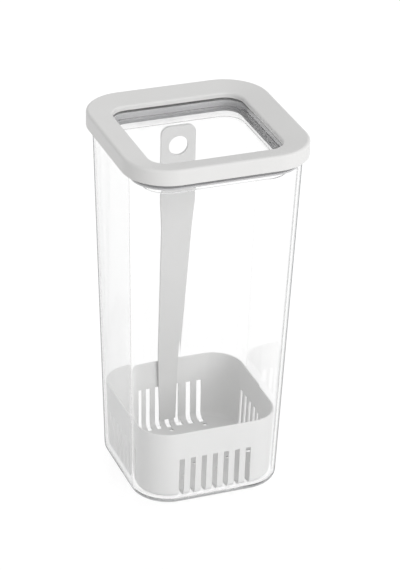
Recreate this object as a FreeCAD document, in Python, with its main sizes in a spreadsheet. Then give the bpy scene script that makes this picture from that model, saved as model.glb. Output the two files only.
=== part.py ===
import FreeCAD, Part
import math
import os
import Sketcher
from FreeCAD import Vector

# A tall clear canister with a press-on lid and a slotted lift-out basket.
# Millimetres. Z is up. The origin is the middle of the face it stands on,
# with the wall that carries the strap handle at +Y.

doc = FreeCAD.newDocument("HerbKeeper")

# Driving sizes, each written once.
sheet = doc.addObject("Spreadsheet::Sheet", "sizes")
driving = [
    ("container_height", 217.0),
    ("container_mouth", 102.8),
    ("container_base", 89.6),
    ("container_wall", 2.0),
    ("container_floor", 2.5),
    ("container_floor_radius", 2.5),
    ("container_foot_radius", 4.0),
    ("container_lip_radius", 0.6),
    ("basket_clearance", 1.8),
    ("basket_height", 44.2),
    ("basket_wall", 1.6),
    ("basket_floor", 1.6),
    ("basket_floor_radius", 2.4),
    ("basket_foot_radius", 4.0),
    ("basket_rim_radius", 0.5),
    ("slot_width", 2.9),
    ("slot_pitch", 6.9),
    ("slot_count", 7),
    ("slot_top", 26.5),
    ("slot_notch", 5.0),
    ("drain_bore", 2.6),
    ("drain_pitch", 10.6),
    ("drain_row", 10.0),
    ("strap_thickness", 1.8),
    ("strap_foot", 4.2),
    ("strap_foot_width", 11.2),
    ("strap_rim_width", 13.9),
    ("strap_neck_width", 18.6),
    ("strap_neck_level", 143.0),
    ("strap_tab_level", 160.0),
    ("strap_bend_level", 152.0),
    ("strap_lean", 10.4),
    ("strap_bend_run", 9.0),
    ("tab_width", 21.2),
    ("tab_level", 204.5),
    ("tab_corner", 5.0),
    ("finger_bore", 12.0),
    ("finger_drop", 12.6),
    ("lid_corner", 26.0),
    ("lid_overlap", 4.0),
    ("lid_crown", 6.0),
    ("lid_slope", 3.0),
    ("lid_band", 15.2),
    ("lid_edge_radius", 2.0),
    ("lid_lip_radius", 1.0),
    ("lid_skirt_wall", 3.0),
    ("lid_skirt_clearance", 0.6),
    ("window_reveal", 0.8),
    ("window_drop", 5.4),
    ("window_thickness", 1.8),
    ("window_corner_radius", 1.5),
    ("plug_wall", 2.1),
    ("plug_depth", 14.0),
    ("flange_thickness", 2.5),
    ("flange_clearance", 0.8),
    ("seal_clearance", 0.3),
    ("seal_fit", 0.1),
    ("seal_web", 1.8),
    ("seal_height", 6.5),
    ("seal_lip", 1.2),
    ("seal_lip_gap", 2.4),
]
size = {}
for row, (alias, value) in enumerate(driving, start=1):
    sheet.set("A%d" % row, alias)
    sheet.set("B%d" % row, str(value))
    sheet.setAlias("B%d" % row, alias)
    size[alias] = value
doc.recompute()


def plane_of(body, role):
    """The origin plane of a body that has this role."""
    for feature in body.Origin.OriginFeatures:
        if feature.Role == role:
            return feature
    raise RuntimeError("no plane " + role)


def new_body(label):
    body = doc.addObject("PartDesign::Body", label)
    body.Label = label
    return body


def new_sketch(body, name, role="XY_Plane", level=None):
    """A sketch on an origin plane, raised by the expression in level."""
    sketch = body.newObject("Sketcher::SketchObject", name)
    sketch.AttachmentSupport = [(plane_of(body, role), "")]
    sketch.MapMode = "FlatFace"
    if level is not None:
        sketch.setExpression("AttachmentOffset.Base.z", level)
    return sketch


def bind(sketch, constraint, expression):
    """Add a dimension and tie it to the sheet."""
    index = sketch.addConstraint(constraint)
    sketch.setExpression("Constraints[%d]" % index, expression)


def rounded_square(sketch, half, corner):
    """Square about the origin with round corners; both sizes are expressions."""
    h = 50.0
    r = 12.0
    c = h - r
    z = Vector(0, 0, 1)
    quarter = math.pi / 2
    line = Part.LineSegment
    sketch.addGeometry(line(Vector(-c, -h, 0), Vector(c, -h, 0)))
    sketch.addGeometry(Part.ArcOfCircle(Part.Circle(Vector(c, -c, 0), z, r), -quarter, 0))
    sketch.addGeometry(line(Vector(h, -c, 0), Vector(h, c, 0)))
    sketch.addGeometry(Part.ArcOfCircle(Part.Circle(Vector(c, c, 0), z, r), 0, quarter))
    sketch.addGeometry(line(Vector(c, h, 0), Vector(-c, h, 0)))
    sketch.addGeometry(Part.ArcOfCircle(Part.Circle(Vector(-c, c, 0), z, r), quarter, 2 * quarter))
    sketch.addGeometry(line(Vector(-h, c, 0), Vector(-h, -c, 0)))
    sketch.addGeometry(Part.ArcOfCircle(Part.Circle(Vector(-c, -c, 0), z, r), 2 * quarter, 3 * quarter))
    for k in range(8):
        sketch.addConstraint(Sketcher.Constraint("Tangent", k, 2, (k + 1) % 8, 1))
    sketch.addConstraint(Sketcher.Constraint("Horizontal", 4))
    sketch.addConstraint(Sketcher.Constraint("Vertical", 6))
    for k in (3, 5, 7):
        sketch.addConstraint(Sketcher.Constraint("Equal", 1, k))
    sketch.addConstraint(Sketcher.Constraint("Symmetric", 0, 1, 0, 2, -2))
    sketch.addConstraint(Sketcher.Constraint("Symmetric", 2, 1, 2, 2, -1))
    bind(sketch, Sketcher.Constraint("DistanceX", -1, 1, 2, 1, h), half)
    bind(sketch, Sketcher.Constraint("DistanceY", 0, 1, -1, 1, h), half)
    bind(sketch, Sketcher.Constraint("Radius", 1, r), corner)


def polygon(sketch, corners):
    """Closed polygon whose corners are pairs of expressions, counter-clockwise."""
    first = sketch.GeometryCount
    count = len(corners)
    start = []
    for k in range(count):
        angle = 2 * math.pi * (k + 0.5) / count
        start.append(Vector(100 + 20 * math.cos(angle), 100 + 20 * math.sin(angle), 0))
    for k in range(count):
        sketch.addGeometry(Part.LineSegment(start[k], start[(k + 1) % count]))
    for k in range(count):
        here = first + k
        following = first + (k + 1) % count
        sketch.addConstraint(Sketcher.Constraint("Coincident", here, 2, following, 1))
    for k, (x, y) in enumerate(corners):
        bind(sketch, Sketcher.Constraint("DistanceX", -1, 1, first + k, 1, start[k].x), x)
        bind(sketch, Sketcher.Constraint("DistanceY", -1, 1, first + k, 1, start[k].y), y)


def rectangle(sketch, left, right, low, high):
    polygon(sketch, [(left, low), (right, low), (right, high), (left, high)])


def circle(sketch, x, y, diameter):
    k = sketch.addGeometry(Part.Circle(Vector(5, 5, 0), Vector(0, 0, 1), 2))
    if x is None:
        sketch.addConstraint(Sketcher.Constraint("PointOnObject", k, 3, -2))
    else:
        bind(sketch, Sketcher.Constraint("DistanceX", -1, 1, k, 3, 5), x)
    bind(sketch, Sketcher.Constraint("DistanceY", -1, 1, k, 3, 5), y)
    bind(sketch, Sketcher.Constraint("Diameter", k, 4), diameter)


def pad(body, name, sketch, length):
    feature = body.newObject("PartDesign::Pad", name)
    feature.Profile = sketch
    feature.setExpression("Length", length)
    return feature


def pocket(body, name, sketch, length, reverse=False):
    feature = body.newObject("PartDesign::Pocket", name)
    feature.Profile = sketch
    feature.Reversed = reverse
    feature.setExpression("Length", length)
    return feature


skirt_inner = "sizes.container_mouth / 2 + sizes.lid_skirt_clearance"
lid_half = skirt_inner + " + sizes.lid_skirt_wall"


def ring(body, name, profile_corners):
    """Sweep a section round the lid; its corners are (half width, level)."""
    path = new_sketch(body, name + "_path")
    rounded_square(path, lid_half, "sizes.lid_corner")
    section = new_sketch(body, name + "_section", role="YZ_Plane",
                         level="sizes.lid_corner - (%s)" % lid_half)
    polygon(section, [("-(%s)" % half, level) for half, level in profile_corners])
    feature = body.newObject("PartDesign::AdditivePipe", name)
    feature.Profile = section
    feature.Spine = (path, [])
    doc.recompute()
    return feature


def edges_where(shape, test):
    """Names of the edges whose middle point passes the test."""
    found = []
    for k, edge in enumerate(shape.Edges, start=1):
        middle = edge.valueAt((edge.FirstParameter + edge.LastParameter) / 2)
        if test(middle, edge):
            found.append("Edge%d" % k)
    return found


def round_edges(body, name, base, names, radius):
    feature = body.newObject("PartDesign::Fillet", name)
    feature.Base = (base, names)
    feature.setExpression("Radius", radius)
    return feature


def at_level(level):
    return lambda middle, edge: edge.BoundBox.ZLength < 0.01 and abs(middle.z - level) < 0.01


def drafted_block(label, level, half, length, corner, foot_name):
    """A square block that widens upward, with round corners and a round foot."""
    body = new_body(label)
    outline = new_sketch(body, label + "_outline", level=level)
    square(outline, half)
    block = pad(body, label + "_block", outline, length)
    spread = "(sizes.container_mouth - sizes.container_base) / 2"
    block.setExpression("TaperAngle", "atan(%s / sizes.container_height)" % spread)
    doc.recompute()
    upright = edges_where(block.Shape, lambda middle, edge: edge.BoundBox.ZLength > 1)
    corners = round_edges(body, label + "_corners", block, upright, corner)
    doc.recompute()
    base = min(edge.BoundBox.ZMin for edge in block.Shape.Edges)
    foot = edges_where(corners.Shape, at_level(base))
    round_edges(body, label + "_foot", corners, foot, foot_name)
    doc.recompute()
    return body


def cut_away(body, name, tool):
    """Cut one body's solid from another's."""
    cut = body.newObject("PartDesign::Boolean", name)
    cut.Type = "Cut"
    cut.setObjects([tool])
    doc.recompute()
    return cut


def inner_half(level):
    """Half width of the canister's drafted inside at a level."""
    spread = "(sizes.container_mouth - sizes.container_base) / 2"
    outer = "sizes.container_base / 2 + %s * (%s) / sizes.container_height" % (spread, level)
    return "%s - sizes.container_wall" % outer


def lid_corner(half):
    """Corner radius of a lid outline of this half width, all about one centre."""
    return "sizes.lid_corner - (%s) + (%s)" % (lid_half, half)


def square(sketch, half):
    rectangle(sketch, "-(%s)" % half, half, "-(%s)" % half, half)


mouth_corner = lid_corner("sizes.container_mouth / 2")
cavity_corner = mouth_corner + " - sizes.container_wall"

# Container: a drafted clear shell with an open mouth and a rounded foot.
container = drafted_block("container", None, "sizes.container_base / 2", "sizes.container_height",
                          mouth_corner, "sizes.container_foot_radius")
cavity = drafted_block("container_cavity", "sizes.container_floor", inner_half("sizes.container_floor"),
                       "sizes.container_height - sizes.container_floor", cavity_corner,
                       "sizes.container_floor_radius")
shell = cut_away(container, "container_hollow", cavity)
lip = round_edges(container, "container_lip", shell,
                  edges_where(shell.Shape, at_level(size["container_height"])),
                  "sizes.container_lip_radius")
doc.recompute()

# Basket: a drafted bucket that stands on the container's floor.
floor_level = "sizes.container_floor + sizes.basket_floor"
rim_level = "sizes.container_floor + sizes.basket_height"
basket_half = inner_half("sizes.container_floor") + " - sizes.basket_clearance"
basket_corner = cavity_corner + " - sizes.basket_clearance"
hollow_half = inner_half(floor_level) + " - sizes.basket_clearance - sizes.basket_wall"
basket = drafted_block("basket", "sizes.container_floor", basket_half, "sizes.basket_height",
                       basket_corner, "sizes.basket_foot_radius")
hollow = drafted_block("basket_cavity", floor_level, hollow_half,
                       "sizes.basket_height - sizes.basket_floor",
                       basket_corner + " - sizes.basket_wall", "sizes.basket_floor_radius")
bucket = cut_away(basket, "basket_hollow", hollow)
rim = round_edges(basket, "basket_rim", bucket,
                  edges_where(bucket.Shape, at_level(size["container_floor"] + size["basket_height"])),
                  "sizes.basket_rim_radius")
doc.recompute()

# Seven upright slots in each wall, running down into the floor.
slots = new_sketch(basket, "slot_outline", role="XZ_Plane", level="sizes.container_base / 2")
for k in range(size["slot_count"]):
    middle = "(%d - (%d - 1) / 2) * sizes.slot_pitch" % (k, size["slot_count"])
    rectangle(slots, middle + " - sizes.slot_width / 2", middle + " + sizes.slot_width / 2",
              "0 mm", "sizes.container_floor + sizes.slot_top")
slot = pocket(basket, "slots", slots,
              "sizes.container_base / 2 - (%s) + sizes.slot_notch" % basket_half)
doc.recompute()
drain_plan = new_sketch(basket, "drain_outline", level="sizes.container_floor")
sides = basket.newObject("PartDesign::PolarPattern", "slots_all_round")
sides.Originals = [slot]
sides.Axis = (drain_plan, ["N_Axis"])
sides.Angle = 360
sides.Occurrences = 4
basket.Tip = sides
doc.recompute()

# Staggered drain holes in the floor.
for row in range(-3, 4):
    columns = (-2, 0, 2) if row % 2 else (-3, -1, 1, 3)
    for column in columns:
        circle(drain_plan, "%d * sizes.drain_pitch" % column if column else None,
               "%d * sizes.drain_row" % row if row else None, "sizes.drain_bore")
drains = pocket(basket, "drain_holes", drain_plan, "sizes.basket_floor", reverse=True)
doc.recompute()
basket.Tip = drains

# Strap handle: a thin strap bonded to the back wall, which leans inward in two easy bends.
foot_level = "sizes.container_floor + sizes.strap_foot"
wall_gap = " - sizes.basket_clearance - sizes.basket_wall"
foot_face = inner_half(foot_level) + wall_gap
rim_face = inner_half(rim_level) + wall_gap
tab_face = rim_face + " - sizes.strap_lean"
tab_top = "sizes.container_floor + sizes.tab_level"
bend_level = "sizes.strap_bend_level"
bend_run = "sizes.strap_bend_run"
crank_start = "%s - %s" % (rim_level, bend_run)
crank_end = "%s + %s" % (bend_level, bend_run)
slant = "sizes.strap_lean * sizes.strap_bend_run / (%s - (%s))" % (bend_level, rim_level)
back_face = [
    (foot_face, foot_level),
    (inner_half(crank_start) + wall_gap, crank_start),
    ("%s - %s" % (rim_face, slant), "%s + %s" % (rim_level, bend_run)),
    ("%s + %s" % (tab_face, slant), "%s - %s" % (bend_level, bend_run)),
    (tab_face, crank_end),
    (tab_face, tab_top),
]
front_face = [(depth + " - sizes.strap_thickness", level) for depth, level in reversed(back_face)]
handle = new_body("handle")
profile = new_sketch(handle, "strap_profile", role="YZ_Plane")
polygon(profile, back_face + front_face)
strap = pad(handle, "strap", profile, "sizes.tab_width")
strap.Midplane = True
doc.recompute()
sides = new_sketch(handle, "strap_outline", role="XZ_Plane")
for sign in ("", "-"):
    polygon(sides, [
        (sign + "sizes.strap_foot_width / 2", "0 mm"),
        (sign + "sizes.strap_foot_width / 2", foot_level),
        (sign + "sizes.strap_rim_width / 2", rim_level),
        (sign + "sizes.strap_neck_width / 2", "sizes.strap_neck_level"),
        (sign + "sizes.tab_width / 2", "sizes.strap_tab_level"),
        (sign + "sizes.tab_width", "sizes.strap_tab_level"),
        (sign + "sizes.tab_width", "0 mm"),
    ])
trimmed = pocket(handle, "strap_taper", sides, "sizes.container_base")
doc.recompute()
tops = edges_where(trimmed.Shape, lambda middle, edge: (
    edge.BoundBox.XLength < 0.01 and edge.BoundBox.ZLength < 0.01
    and abs(middle.z - size["container_floor"] - size["tab_level"]) < 0.01))
tab = round_edges(handle, "tab_corners", trimmed, tops, "sizes.tab_corner")
hole = new_sketch(handle, "finger_outline", role="XZ_Plane")
circle(hole, None, tab_top + " - sizes.finger_drop", "sizes.finger_bore")
finger = pocket(handle, "finger_hole", hole, "sizes.container_base")
doc.recompute()

# Lid window: a clear pan whose wall is the plug that enters the mouth.
lid_inner = lid_half + " - sizes.lid_band"
plug_inner = lid_inner + " + sizes.window_reveal"
plug_outer = plug_inner + " + sizes.plug_wall"
flange_half = "sizes.container_mouth / 2 - sizes.container_wall - sizes.flange_clearance"
plug_level = "sizes.container_height - sizes.plug_depth"
window = new_body("lid_window")
outline = new_sketch(window, "plug_outline", level=plug_level)
rounded_square(outline, plug_outer, lid_corner(plug_outer))
plug = pad(window, "plug", outline, "sizes.plug_depth")
outline = new_sketch(window, "flange_outline", level="sizes.container_height - sizes.flange_thickness")
rounded_square(outline, flange_half, lid_corner(flange_half))
flange = pad(window, "flange", outline, "sizes.flange_thickness")
outline = new_sketch(window, "dish_outline", level="sizes.container_height")
rounded_square(outline, plug_inner, lid_corner(plug_inner))
dish = pocket(window, "dish", outline, "sizes.window_drop")
outline = new_sketch(window, "well_outline", level=plug_level)
rounded_square(outline, plug_inner, lid_corner(plug_inner))
well = pocket(window, "well", outline,
              "sizes.plug_depth - sizes.window_drop - sizes.window_thickness", reverse=True)
doc.recompute()
dish_level = size["container_height"] - size["window_drop"]
pane = round_edges(window, "pane_corner", well,
                   edges_where(well.Shape, at_level(dish_level)), "sizes.window_corner_radius")
doc.recompute()

# Lid frame: a soft-edged square ring that seats on the container's rim.
skirt_level = "sizes.container_height - sizes.lid_overlap"
crown_level = "sizes.container_height + sizes.lid_crown"
frame = new_body("lid_frame")
band = ring(frame, "lid_band_ring", [
    (skirt_inner, skirt_level),
    (lid_half, skirt_level),
    (lid_half, crown_level),
    (lid_inner, crown_level + " - sizes.lid_slope"),
    (lid_inner, "sizes.container_height"),
    (skirt_inner, "sizes.container_height"),
])
outer_top = edges_where(band.Shape, at_level(size["container_height"] + size["lid_crown"]))
edge = round_edges(frame, "lid_outer_edge", band, outer_top, "sizes.lid_edge_radius")
doc.recompute()
inner_top = edges_where(edge.Shape, at_level(
    size["container_height"] + size["lid_crown"] - size["lid_slope"]))
edge = round_edges(frame, "lid_inner_edge", edge, inner_top, "sizes.lid_lip_radius")
doc.recompute()

# Lid seal: a silicone ring with two lips round the plug, under the flange.
web_inner = plug_outer + " + sizes.seal_fit"
web_outer = web_inner + " + sizes.seal_web"
seal_top = "sizes.container_height - sizes.flange_thickness"
seal_foot = seal_top + " - sizes.seal_height"
lip_half = inner_half(seal_foot) + " - sizes.seal_clearance"
lip_top = seal_foot + " + sizes.seal_lip"
upper_foot = lip_top + " + sizes.seal_lip_gap"
upper_top = upper_foot + " + sizes.seal_lip"
seal = new_body("lid_seal")
lips = ring(seal, "seal_ring", [
    (web_inner, seal_foot),
    (lip_half, seal_foot),
    (lip_half, lip_top),
    (web_outer, lip_top),
    (web_outer, upper_foot),
    (lip_half, upper_foot),
    (lip_half, upper_top),
    (web_outer, upper_top),
    (web_outer, seal_top),
    (web_inner, seal_top),
])
doc.recompute()

# Nothing is written unless every step worked and every piece is one sound solid.
for item in doc.Objects:
    if "Invalid" in item.State or "Error" in item.State:
        raise RuntimeError("%s did not rebuild: %s" % (item.Name, item.State))
pieces = [container, basket, handle, window, frame, seal]
for piece in pieces:
    shape = piece.Shape
    if shape.isNull() or not shape.isValid() or len(shape.Solids) != 1:
        raise RuntimeError(piece.Label + " is not one sound solid")
    print(piece.Label, round(shape.Volume), len(shape.Faces), shape.BoundBox)

os.makedirs("parts", exist_ok=True)
for piece in pieces:
    piece.Shape.exportStep("parts/" + piece.Label + ".step")
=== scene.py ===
from math import cos, pi, radians, sin

import bmesh
import bpy
from mathutils import Matrix, Vector


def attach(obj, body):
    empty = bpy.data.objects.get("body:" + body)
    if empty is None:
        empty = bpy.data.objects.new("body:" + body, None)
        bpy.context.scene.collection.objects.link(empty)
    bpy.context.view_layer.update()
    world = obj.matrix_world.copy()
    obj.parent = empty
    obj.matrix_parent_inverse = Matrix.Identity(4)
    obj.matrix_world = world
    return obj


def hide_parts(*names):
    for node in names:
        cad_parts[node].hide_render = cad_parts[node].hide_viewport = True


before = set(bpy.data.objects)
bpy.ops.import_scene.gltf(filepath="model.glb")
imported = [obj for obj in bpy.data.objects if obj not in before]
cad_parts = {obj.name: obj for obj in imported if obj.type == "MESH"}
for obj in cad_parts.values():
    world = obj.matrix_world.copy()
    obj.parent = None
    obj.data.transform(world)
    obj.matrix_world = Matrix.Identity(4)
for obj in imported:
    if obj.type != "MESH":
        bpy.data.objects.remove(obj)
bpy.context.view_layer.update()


# Table top
# The keeper stands on a glossy white table. It is white for the lens and in
# what the plastic mirrors, and it keeps the keeper's soft shadow.
table_size, table_gap = 8, 0.0002
bpy.ops.object.select_all(action="DESELECT")
bpy.ops.mesh.primitive_plane_add(size=table_size, location=(0, 0, -table_gap))
table_top = bpy.context.object
table_top.name = "table_top"
bpy.ops.object.transform_apply(location=True, rotation=True, scale=True)


def any_ray(nodes, links, *kinds):
    """One where a ray is of the named kinds, and nought elsewhere."""
    ray = nodes.new("ShaderNodeLightPath")
    found = ray.outputs[kinds[0]]
    for kind in kinds[1:]:
        either = nodes.new("ShaderNodeMath")
        either.operation = "MAXIMUM"
        links.new(found, either.inputs[0])
        links.new(ray.outputs[kind], either.inputs[1])
        found = either.outputs[0]
    return found


table_paint = bpy.data.materials.new("white_table")
table_paint.use_nodes = True
nodes, links = table_paint.node_tree.nodes, table_paint.node_tree.links
plain = nodes["Principled BSDF"]
plain.inputs["Base Color"].default_value = (0.86, 0.86, 0.86, 1)
plain.inputs["Roughness"].default_value = 0.5
lacquer = nodes.new("ShaderNodeBsdfPrincipled")
lacquer.inputs["Base Color"].default_value = (0.16, 0.16, 0.16, 1)
lacquer.inputs["Roughness"].default_value = 0.10
lacquer.inputs["IOR"].default_value = 1.5
lacquer.inputs["Emission Color"].default_value = (1, 1, 1, 1)
lacquer.inputs["Emission Strength"].default_value = 0.84
blend = nodes.new("ShaderNodeMixShader")
seen = any_ray(nodes, links, "Is Camera Ray", "Is Transmission Ray", "Is Glossy Ray")
links.new(seen, blend.inputs["Fac"])
links.new(plain.outputs["BSDF"], blend.inputs[1])
links.new(lacquer.outputs["BSDF"], blend.inputs[2])
links.new(blend.outputs[0], nodes["Material Output"].inputs["Surface"])
table_top.data.materials.append(table_paint)


# Studio
# A white room gives soft light from all round. One wide lamp in front lights
# the near walls a little more than the lid's top.
room = bpy.data.worlds.new("white_room")
bpy.context.scene.world = room
room.use_nodes = True
nodes, links = room.node_tree.nodes, room.node_tree.links
walls = nodes["Background"]
walls.inputs["Color"].default_value = (1, 1, 1, 1)
strength = nodes.new("ShaderNodeMapRange")
strength.inputs["To Min"].default_value = 0.67
strength.inputs["To Max"].default_value = 1.0
seen = any_ray(nodes, links, "Is Camera Ray", "Is Glossy Ray", "Is Transmission Ray")
links.new(seen, strength.inputs["Value"])
links.new(strength.outputs["Result"], walls.inputs["Strength"])

lamp_place, lamp_target = Vector((0.55, -1.25, 0.72)), Vector((0, 0, 0.11))
lamp = bpy.data.lights.new("front_lamp", "AREA")
lamp.shape = "SQUARE"
lamp.size = 1.0
lamp.energy = 10.5
front_lamp = bpy.data.objects.new("front_lamp", lamp)
bpy.context.collection.objects.link(front_lamp)
front_lamp.location = lamp_place
front_lamp.rotation_euler = (lamp_target - lamp_place).to_track_quat("-Z", "Y").to_euler()
front_lamp.visible_glossy = False
front_lamp.visible_transmission = False

# The lens looks down at the keeper from its front left, from a metre and a half.
azimuth, elevation, roll = radians(-21.327), radians(28.169), radians(1.443)
aim, distance = Vector((0, 0, 0.111)), 1.5181
side_step, up_step = -0.004119, -0.006938
picture_width, focal_length = 400, 2602.35        # both in pixels
sensor_width = 36                                 # in millimetres
right = Vector((cos(azimuth), sin(azimuth), 0))
back = Vector((sin(azimuth) * cos(elevation), -cos(azimuth) * cos(elevation), sin(elevation)))
up = back.cross(right)
frame_right = cos(roll) * right + sin(roll) * up
frame_up = -sin(roll) * right + cos(roll) * up
turn = Matrix((frame_right, frame_up, back)).transposed()
eye = aim + turn @ Vector((-side_step, -up_step, distance))
lens = bpy.data.cameras.new("photo_camera")
lens.sensor_fit = "HORIZONTAL"
lens.sensor_width = sensor_width
lens.lens = focal_length * sensor_width / picture_width
lens.clip_start = 0.1
lens.clip_end = 50
camera = bpy.data.objects.new("photo_camera", lens)
bpy.context.collection.objects.link(camera)
camera.matrix_world = Matrix.Translation(eye) @ turn.to_4x4()
bpy.context.scene.camera = camera
bpy.context.scene.view_settings.view_transform = "Standard"
bpy.context.scene.cycles.max_bounces = 32
bpy.context.scene.cycles.transmission_bounces = 32
bpy.context.scene.cycles.glossy_bounces = 16


# Container
# The tall clear bin is one injection-moulded piece of glass-clear plastic with
# a 2 mm wall. It narrows a little to its base, and its mouth and foot are rounded.
height, floor_top, wall = 0.217, 0.0025, 0.002
mouth_half, base_half, outer_corner = 0.0514, 0.0448, 0.0224
lip_radius, inner_foot_radius, foot_radius = 0.0006, 0.0025, 0.004
corner_centre = mouth_half - outer_corner         # the mouth and the lid share it
corners = ((1, 1), (-1, 1), (-1, -1), (1, -1))


def choose(part, edges=None, faces=None, verts=None):
    """In edit mode, selects only what lies where the test says."""
    bpy.ops.mesh.select_all(action="DESELECT")
    shape = bmesh.from_edit_mesh(part.data)
    if verts:
        bpy.ops.mesh.select_mode(type="VERT")
        for point in shape.verts:
            point.select = verts(point.co)
    if edges:
        bpy.ops.mesh.select_mode(type="EDGE")
        for edge in shape.edges:
            edge.select_set(edges(edge.verts[0].co, edge.verts[1].co))
    if faces:
        bpy.ops.mesh.select_mode(type="FACE")
        for face in shape.faces:
            face.select_set(faces(face.calc_center_median(), face.normal))
    shape.select_flush_mode()
    bmesh.update_edit_mesh(part.data)


def at(level, slack=0.00002):
    """A test for the points of one level."""
    return lambda point: abs(point.z - level) < slack


def middle_face(level, slack=0.001):
    """A test for the level face that lies on the keeper's axis."""
    return lambda centre, normal: at(level)(centre) and centre.to_2d().length < slack


def reach(point, centre):
    """How far out a point lies, measured square to the walls and round the corners."""
    dx, dy = max(abs(point.x) - centre, 0), max(abs(point.y) - centre, 0)
    return centre + (dx * dx + dy * dy) ** 0.5


def loop(level, half, centre=corner_centre, slack=0.00005):
    """A test for the edges of one level ring."""
    def test(a, b):
        return all(abs(p.z - level) < slack and abs(reach(p, centre) - half) < slack
                   for p in (a, b))
    return test


def square_block(name, half, corner, low, high, steps=12):
    """A square block with rounded upright edges, left in edit mode."""
    bpy.ops.object.select_all(action="DESELECT")
    bpy.ops.mesh.primitive_cube_add(size=1, location=(0, 0, (low + high) / 2),
                                    scale=(2 * half, 2 * half, high - low))
    part = bpy.context.object
    part.name = part.data.name = name
    bpy.ops.object.transform_apply(location=True, rotation=True, scale=True)
    bpy.ops.object.mode_set(mode="EDIT")
    choose(part, edges=lambda a, b: abs(a.z - b.z) > (high - low) / 2)
    bpy.ops.mesh.bevel(offset=corner, segments=steps, affect="EDGES")
    return part


def spread(part, level, by):
    """Moves the corners at one level outwards, which keeps their radius."""
    for x, y in corners:
        choose(part, verts=lambda p: at(level)(p) and p.x * x > 0 and p.y * y > 0)
        bpy.ops.transform.translate(value=(x * by, y * by, 0))


def sink(part, level, rim, floor):
    """Insets the face at a level by the rim's width and moves it to the floor."""
    choose(part, faces=middle_face(level))
    bpy.ops.mesh.inset(thickness=rim)
    bpy.ops.mesh.extrude_region_move(TRANSFORM_OT_translate={"value": (0, 0, floor - level)})


def soften(part, radius, steps, *loops):
    """Rounds whole rings of edges."""
    choose(part, edges=lambda a, b: any(test(a, b) for test in loops))
    bpy.ops.mesh.bevel(offset=radius, segments=steps, affect="EDGES")


def finish_part(part, sharpest=35):
    """Turns the faces outwards and shades the round edges smooth."""
    bpy.ops.mesh.select_all(action="SELECT")
    bpy.ops.mesh.normals_make_consistent(inside=False)
    bpy.ops.object.mode_set(mode="OBJECT")
    bpy.ops.object.shade_smooth_by_angle(angle=radians(sharpest))
    even = part.modifiers.new("even_shading", "WEIGHTED_NORMAL")
    even.keep_sharp = True
    even.weight = 100
    bpy.ops.object.modifier_apply(modifier=even.name)


draft = (mouth_half - base_half) / height
container = square_block("clear_container", base_half, outer_corner, 0, height, steps=16)
spread(container, height, mouth_half - base_half)
sink(container, height, wall, floor_top)
spread(container, floor_top, -draft * (height - floor_top))
soften(container, lip_radius, 3, loop(height, mouth_half), loop(height, mouth_half - wall))
inner_half = base_half + draft * floor_top - wall
inner_centre = inner_half - (outer_corner - wall)
soften(container, inner_foot_radius, 6, loop(floor_top, inner_half, inner_centre))
soften(container, foot_radius, 8, loop(0, base_half, base_half - outer_corner))
finish_part(container)


def clear_plastic(name, painted_edge_shade, rim):
    """Glass-clear plastic, greyer where the eye looks along its wall: painted shade in place of
    the dark surroundings it would mirror.
    """
    paint = bpy.data.materials.new(name)
    paint.use_nodes = True
    nodes, links = paint.node_tree.nodes, paint.node_tree.links
    plastic = nodes["Principled BSDF"]
    plastic.inputs["Transmission Weight"].default_value = 1.0
    plastic.inputs["IOR"].default_value = 1.49
    # Painted shade: the base colour turns grey where the eye meets the wall at a grazing angle,
    # standing in for mirrored dark surroundings.
    facing = nodes.new("ShaderNodeLayerWeight")
    facing.inputs["Blend"].default_value = 0.5
    grey = nodes.new("ShaderNodeValToRGB")
    clear, edge = grey.color_ramp.elements
    clear.position = 0.6
    clear.color = (1, 1, 1, 1)
    edge.color = (*painted_edge_shade, 1)
    links.new(facing.outputs["Facing"], grey.inputs["Fac"])
    links.new(grey.outputs["Color"], plastic.inputs["Base Color"])

    place = nodes.new("ShaderNodeTexCoord")
    flow = nodes.new("ShaderNodeTexNoise")
    flow.inputs["Scale"].default_value = 18
    flow.inputs["Detail"].default_value = 3
    links.new(place.outputs["Object"], flow.inputs["Vector"])
    polish = nodes.new("ShaderNodeMapRange")
    polish.inputs["To Min"].default_value = 0.0
    polish.inputs["To Max"].default_value = 0.035
    links.new(flow.outputs["Fac"], polish.inputs["Value"])
    links.new(polish.outputs["Result"], plastic.inputs["Roughness"])

    # Painted shade: a grey see-through layer darkens the silhouettes, standing in for the dark
    # surroundings they would mirror.
    rim_shade = nodes.new("ShaderNodeBsdfTransparent")
    rim_shade.inputs["Color"].default_value = (0.50, 0.505, 0.51, 1)
    grazing = nodes.new("ShaderNodeMapRange")
    grazing.inputs["From Min"].default_value = 0.72
    grazing.inputs["From Max"].default_value = 0.93
    grazing.inputs["To Max"].default_value = rim
    links.new(facing.outputs["Facing"], grazing.inputs["Value"])
    body = nodes.new("ShaderNodeMixShader")
    links.new(grazing.outputs["Result"], body.inputs["Fac"])
    links.new(plastic.outputs["BSDF"], body.inputs[1])
    links.new(rim_shade.outputs["BSDF"], body.inputs[2])

    pass_light = nodes.new("ShaderNodeBsdfTransparent")
    pass_light.inputs["Color"].default_value = (0.97, 0.97, 0.97, 1)
    mix = nodes.new("ShaderNodeMixShader")
    links.new(any_ray(nodes, links, "Is Shadow Ray", "Is Diffuse Ray"), mix.inputs["Fac"])
    links.new(body.outputs[0], mix.inputs[1])
    links.new(pass_light.outputs["BSDF"], mix.inputs[2])
    links.new(mix.outputs[0], nodes["Material Output"].inputs["Surface"])
    return paint


# The grey and its strength given here are the painted edge shade of the bin's walls.
container.data.materials.append(clear_plastic("container_plastic", (0.42, 0.43, 0.43), 0.95))
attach(container, "container")
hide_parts("container")


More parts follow.
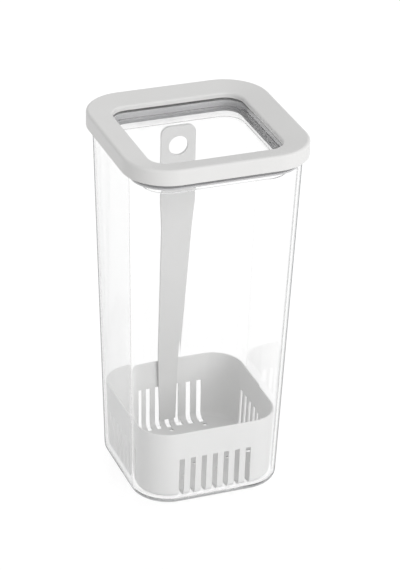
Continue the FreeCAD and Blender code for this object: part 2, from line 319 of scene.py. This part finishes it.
# Basket
# The lift-out basket is moulded in light grey plastic. Upright slots in its four
# walls run down into the floor, which has staggered round drain holes.
basket_wall, basket_base, basket_corner = 0.0010, 0.0009, 0.0186
basket_half, basket_rim = 0.041076, 0.0467
basket_lip, basket_inner_foot, basket_foot = 0.00035, 0.0029, 0.004
slot_width, slot_pitch, slot_top, slot_notch = 0.0032, 0.0069, 0.029, 0.0074
slots_to_a_side = 3                               # and one in the middle
drain_bore, drain_pitch, drain_row, drains_to_a_side = 0.0030, 0.0106, 0.010, 3
blade_depth, drill_depth = 0.014, 0.004           # of the shapes that cut the holes


def moulded_plastic(name, colour, deep, roughness, grain):
    """Opaque moulded plastic: a faint cloudy tone, a soft sheen and a fine grain."""
    paint = bpy.data.materials.new(name)
    paint.use_nodes = True
    nodes, links = paint.node_tree.nodes, paint.node_tree.links
    plastic = nodes["Principled BSDF"]
    plastic.inputs["IOR"].default_value = 1.48
    place = nodes.new("ShaderNodeTexCoord")
    cloud = nodes.new("ShaderNodeTexNoise")
    cloud.inputs["Scale"].default_value = 35
    cloud.inputs["Detail"].default_value = 4
    links.new(place.outputs["Object"], cloud.inputs["Vector"])
    tone = nodes.new("ShaderNodeMixRGB")
    tone.inputs["Color1"].default_value = (*colour, 1)
    tone.inputs["Color2"].default_value = (*deep, 1)
    links.new(cloud.outputs["Fac"], tone.inputs["Fac"])
    links.new(tone.outputs["Color"], plastic.inputs["Base Color"])
    sheen = nodes.new("ShaderNodeMapRange")
    sheen.inputs["To Min"].default_value = roughness - 0.05
    sheen.inputs["To Max"].default_value = roughness + 0.05
    links.new(cloud.outputs["Fac"], sheen.inputs["Value"])
    links.new(sheen.outputs["Result"], plastic.inputs["Roughness"])
    pores = nodes.new("ShaderNodeTexNoise")
    pores.inputs["Scale"].default_value = 2200
    pores.inputs["Detail"].default_value = 2
    links.new(place.outputs["Object"], pores.inputs["Vector"])
    relief = nodes.new("ShaderNodeBump")
    relief.inputs["Strength"].default_value = grain
    relief.inputs["Distance"].default_value = 0.0001
    links.new(pores.outputs["Fac"], relief.inputs["Height"])
    links.new(relief.outputs["Normal"], plastic.inputs["Normal"])
    return paint


basket_floor = floor_top + basket_base
basket = square_block("slotted_basket", basket_half, basket_corner, floor_top, basket_rim,
                      steps=16)
spread(basket, basket_rim, draft * (basket_rim - floor_top))
sink(basket, basket_rim, basket_wall, basket_floor)
spread(basket, basket_floor, -draft * (basket_rim - basket_floor))
rim_half = basket_half + draft * (basket_rim - floor_top)
rim_centre = rim_half - basket_corner
soften(basket, basket_lip, 3, loop(basket_rim, rim_half, rim_centre),
       loop(basket_rim, rim_half - basket_wall, rim_centre))
floor_half = basket_half + draft * basket_base - basket_wall
floor_centre = floor_half - (basket_corner - basket_wall)
soften(basket, basket_inner_foot, 6, loop(basket_floor, floor_half, floor_centre))
soften(basket, basket_foot, 8, loop(floor_top, basket_half, basket_half - basket_corner))
bpy.ops.object.mode_set(mode="OBJECT")


def cut_out(part, cutter):
    """Cuts one shape out of another and clears the cutter away."""
    cut = part.modifiers.new("cut", "BOOLEAN")
    cut.operation = "DIFFERENCE"
    cut.solver = "EXACT"
    cut.object = cutter
    bpy.ops.object.select_all(action="DESELECT")
    bpy.context.view_layer.objects.active = part
    part.select_set(True)
    bpy.ops.object.modifier_apply(modifier=cut.name)
    bpy.data.objects.remove(cutter)


bpy.ops.object.select_all(action="DESELECT")
cutters = []
for quarter in range(4):
    angle = quarter * pi / 2
    for place in range(-slots_to_a_side, slots_to_a_side + 1):
        middle = Vector((place * slot_pitch, -basket_half + slot_notch - blade_depth / 2,
                         slot_top / 2))
        bpy.ops.mesh.primitive_cube_add(size=1, location=Matrix.Rotation(angle, 3, "Z") @ middle,
                                        rotation=(0, 0, angle),
                                        scale=(slot_width, blade_depth, slot_top))
        cutters.append(bpy.context.object)
for row in range(-drains_to_a_side, drains_to_a_side + 1):
    last = drains_to_a_side - row % 2             # every other row is staggered
    for column in range(-last, last + 1, 2):
        middle = (column * drain_pitch, row * drain_row, floor_top)
        bpy.ops.mesh.primitive_cylinder_add(vertices=24, radius=drain_bore / 2, depth=drill_depth,
                                            location=middle)
        cutters.append(bpy.context.object)
for cutter in cutters:
    cutter.select_set(True)
bpy.ops.object.join()
bpy.ops.object.transform_apply(location=True, rotation=True, scale=True)
cut_out(basket, bpy.context.object)
bpy.ops.object.mode_set(mode="EDIT")
finish_part(basket)
basket.data.materials.append(
    moulded_plastic("basket_plastic_grey", (0.81, 0.81, 0.805), (0.78, 0.78, 0.775), 0.42, 0.12))
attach(basket, "basket")
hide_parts("basket")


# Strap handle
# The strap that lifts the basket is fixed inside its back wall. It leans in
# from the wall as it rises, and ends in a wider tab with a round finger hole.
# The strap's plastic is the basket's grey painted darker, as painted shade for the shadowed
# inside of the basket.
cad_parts["handle"].material_slots[0].material = moulded_plastic(
    "strap_plastic_painted_shade", (0.72, 0.72, 0.715), (0.69, 0.69, 0.685), 0.40, 0.12)


# Lid window
# The lid's middle is a clear moulded pan. Its wall is the plug that enters the
# mouth, its pane lies below the frame's top, and its flange is held in the frame.
flange_half, plug_half, dish_half = 0.0486, 0.0427, 0.0406
window_top, flange_low, plug_low = 0.217, 0.2145, 0.203
pane_top, pane_low = 0.2116, 0.2098
pane_radius, window_edge = 0.0015, 0.0003
window = square_block("clear_lid_window", flange_half, flange_half - corner_centre,
                      flange_low, window_top)
sink(window, window_top, flange_half - dish_half, pane_top)
sink(window, flange_low, flange_half - plug_half, plug_low)
sink(window, plug_low, plug_half - dish_half, pane_low)
soften(window, pane_radius, 5, loop(pane_top, dish_half))
soften(window, window_edge, 2, loop(window_top, flange_half), loop(flange_low, flange_half),
       loop(plug_low, plug_half), loop(plug_low, dish_half), loop(window_top, dish_half))
finish_part(window)
# The lighter grey and weaker strength here are the window's painted edge shade.
window.data.materials.append(clear_plastic("window_plastic", (0.80, 0.81, 0.815), 0.35))
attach(window, "lid")
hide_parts("lid_window")


# Lid seal
# A soft silicone ring sits round the plug, under the flange. Its two thin lips
# wipe the inside of the mouth and make the lid grip.
web_inner, web_outer, lip_half = 0.0428, 0.0446, 0.04882
seal_low, upper_lip, lip_height, lip_edge = 0.208, 0.2116, 0.0012, 0.0004
seal = square_block("lid_seal_ring", web_outer, web_outer - corner_centre, seal_low, flange_low)
for level in (seal_low + lip_height, upper_lip, upper_lip + lip_height):
    bpy.ops.mesh.select_all(action="SELECT")
    bpy.ops.mesh.bisect(plane_co=(0, 0, level), plane_no=(0, 0, 1))
for foot in (seal_low, upper_lip):
    choose(seal, faces=lambda c, n: foot < c.z < foot + lip_height and abs(n.z) < 0.5)
    bpy.ops.mesh.extrude_region_shrink_fatten(
        MESH_OT_extrude_region={},
        TRANSFORM_OT_shrink_fatten={"value": lip_half - web_outer, "use_even_offset": True})


def open_through(part, level):
    """Deletes the two faces that still close a hole at one level and joins their edges."""
    choose(part, faces=middle_face(level))
    bpy.ops.mesh.delete(type="FACE")
    bpy.ops.mesh.select_all(action="SELECT")
    bpy.ops.mesh.remove_doubles(threshold=0.00001)


sink(seal, flange_low, web_outer - web_inner, seal_low)
choose(seal, faces=lambda c, n: middle_face(seal_low)(c, n) and n.z < -0.9)
bpy.ops.mesh.inset(thickness=lip_half - web_inner)
open_through(seal, seal_low)
soften(seal, lip_edge, 3, *(loop(foot + rise, lip_half)
                            for foot in (seal_low, upper_lip) for rise in (0, lip_height)))
finish_part(seal)
seal.data.materials.append(
    moulded_plastic("silicone", (0.62, 0.62, 0.63), (0.57, 0.57, 0.58), 0.38, 0.05))
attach(seal, "lid")
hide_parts("lid_seal")


# Lid frame
# A warm light-grey ring, moulded round the window, caps the lid. Its wide top
# falls a little towards the window, its edges are soft, and its skirt hides the rim.
lid_half, skirt_inner, band = 0.055, 0.052, 0.0152
skirt_low, seat, crown, inner_lip = 0.213, 0.217, 0.2228, 0.2198
crown_radius, inner_lip_radius, skirt_edge = 0.0020, 0.0010, 0.0005
opening_half = lid_half - band
lid_frame = square_block("lid_frame_ring", lid_half, lid_half - corner_centre, skirt_low, crown)
choose(lid_frame, faces=middle_face(crown))
bpy.ops.mesh.inset(thickness=band)
bpy.ops.transform.translate(value=(0, 0, inner_lip - crown))
bpy.ops.mesh.extrude_region_move(TRANSFORM_OT_translate={"value": (0, 0, seat - inner_lip)})
sink(lid_frame, skirt_low, lid_half - skirt_inner, seat)
bpy.ops.mesh.inset(thickness=skirt_inner - opening_half)
open_through(lid_frame, seat)
soften(lid_frame, crown_radius, 7, loop(crown, lid_half))
soften(lid_frame, inner_lip_radius, 5, loop(inner_lip, opening_half))
soften(lid_frame, skirt_edge, 3, loop(skirt_low, lid_half), loop(skirt_low, skirt_inner))
finish_part(lid_frame)
lid_frame.data.materials.append(
    moulded_plastic("frame_plastic_warm_grey", (0.745, 0.742, 0.735), (0.715, 0.712, 0.705),
                    0.36, 0.15))
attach(lid_frame, "lid")
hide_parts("lid_frame")
